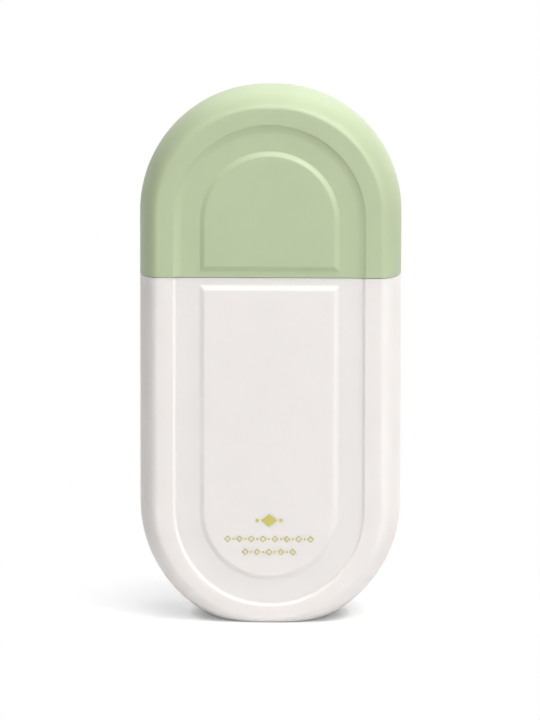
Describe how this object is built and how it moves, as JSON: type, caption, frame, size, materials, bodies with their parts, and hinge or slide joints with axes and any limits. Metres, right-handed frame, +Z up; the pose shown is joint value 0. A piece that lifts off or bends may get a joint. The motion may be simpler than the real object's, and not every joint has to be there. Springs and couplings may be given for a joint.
{
  "type": "sunscreen bottle with pump and overcap",
  "caption": "Flat arched sunscreen bottle with a pull-off cap over a screw-on lotion pump; raised panels inside a recessed rim.",
  "frame": {"origin": "middle of the base, on the surface that the bottle stands on", "axes": "+Z up through the arch of the cap, +X to the right seen from the front, the front faces -Y"},
  "size_m": [0.064, 0.029, 0.131],
  "materials": {
    "bottle_white": "satin warm white moulded plastic",
    "cap_green": "satin pale sage green moulded plastic",
    "liner_white": "plain white moulded plastic",
    "pump_white": "glossy white moulded plastic",
    "pump_natural": "natural milky plastic",
    "gasket_foam": "soft white foam",
    "spring_steel": "stainless spring wire",
    "ball_steel": "polished stainless ball"
  },
  "bodies": {
    "bottle": {"bottle_body": "bottle_white"},
    "cap": {"cap_shell": "cap_green", "cap_liner": "liner_white"},
    "pump": {"pump_housing": "pump_natural", "pump_retainer": "pump_white", "neck_gasket": "gasket_foam", "dip_tube": "pump_natural", "pump_spring": "spring_steel"},
    "collar": {"closure_collar": "pump_white"},
    "piston": {"pump_piston": "pump_natural"},
    "head": {"actuator_head": "pump_white", "pump_stem": "pump_natural", "piston_rod": "pump_white"},
    "ball": {"inlet_ball": "ball_steel"}
  },
  "joints": [
    {"name": "cap_lift", "type": "slide", "parent": "bottle", "child": "cap", "axis": [0, 0, 1], "range_m": [0, 0.045]},
    {"name": "pump_rise", "type": "slide", "parent": "bottle", "child": "pump", "axis": [0, 0, 1], "range_m": [0, 0.00398]},
    {"name": "collar_turn", "type": "hinge", "parent": "pump", "child": "collar", "pos_m": [0, 0, 0.095], "axis": [0, 0, 1], "range_deg": [0, 451]},
    {"name": "head_press", "type": "slide", "parent": "pump", "child": "piston", "axis": [0, 0, -1], "range_m": [0, 0.0045], "stiffness_N_per_m": 400, "springref_m": -0.001, "deforming": ["pump_spring"]},
    {"name": "head_turn", "type": "hinge", "parent": "piston", "child": "head", "pos_m": [0, 0, 0.115], "axis": [0, 0, 1], "continuous": true},
    {"name": "ball_lift", "type": "slide", "parent": "pump", "child": "ball", "axis": [0, 0, 1], "range_m": [0, 0.0008]}
  ],
  "couplings": [
    {"joint": "collar_turn", "follows": "pump_rise", "rad_per_m": 1975.8}
  ]
}
